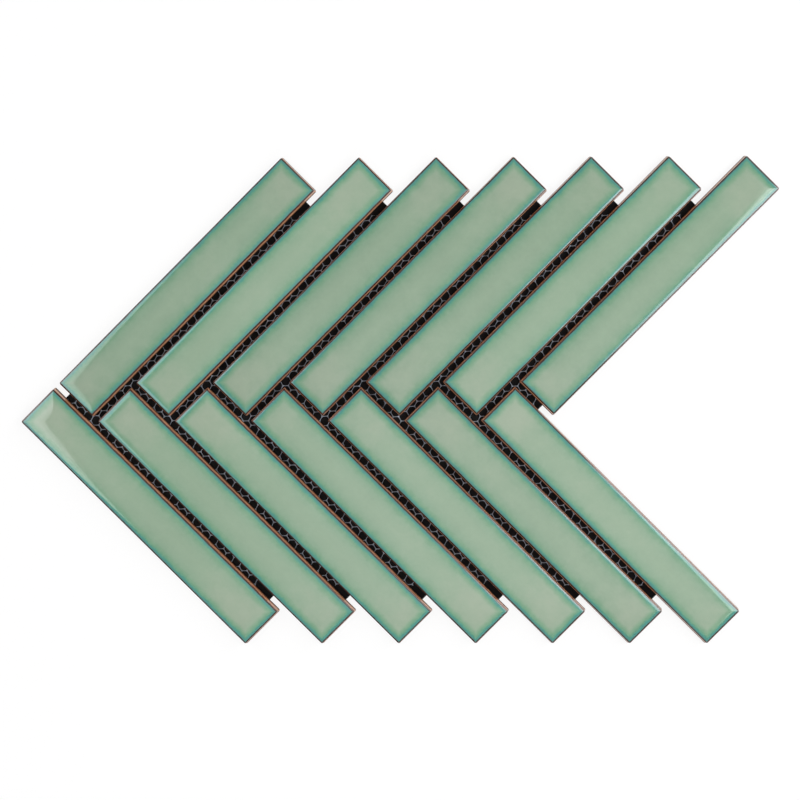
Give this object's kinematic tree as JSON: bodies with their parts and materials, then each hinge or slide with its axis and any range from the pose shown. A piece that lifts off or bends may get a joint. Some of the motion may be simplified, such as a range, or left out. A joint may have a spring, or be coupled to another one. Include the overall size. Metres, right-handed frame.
{
  "type": "chevron mosaic wall tile",
  "caption": "Mosaic sheet of long glazed bars laid herringbone as a chevron on a net and a thin black backing, with pointed tips that nest in the next sheet.",
  "frame": {"origin": "middle of the sheet's extent, on the underside of the backing sheet", "axes": "+X away from the point of the chevron, along its middle line; +Y towards the up-leaning bars; +Z out of the glazed faces"},
  "size_m": [0.3568, 0.2296, 0.0068],
  "materials": {
    "glaze": "glossy grey-green glaze, mottled, pooled teal near the edges and broken brown on them",
    "net": "pale grey moulded net with round meshes",
    "backing": "matt black sheet"
  },
  "bodies": {
    "root": {"upper_bar_1": "glaze", "upper_bar_2": "glaze", "upper_bar_3": "glaze", "upper_bar_4": "glaze", "upper_bar_5": "glaze", "upper_bar_6": "glaze", "upper_bar_7": "glaze", "lower_bar_1": "glaze", "lower_bar_2": "glaze", "lower_bar_3": "glaze", "lower_bar_4": "glaze", "lower_bar_5": "glaze", "lower_bar_6": "glaze", "lower_bar_7": "glaze", "net": "net", "backing_sheet": "backing"}
  },
  "joints": []
}
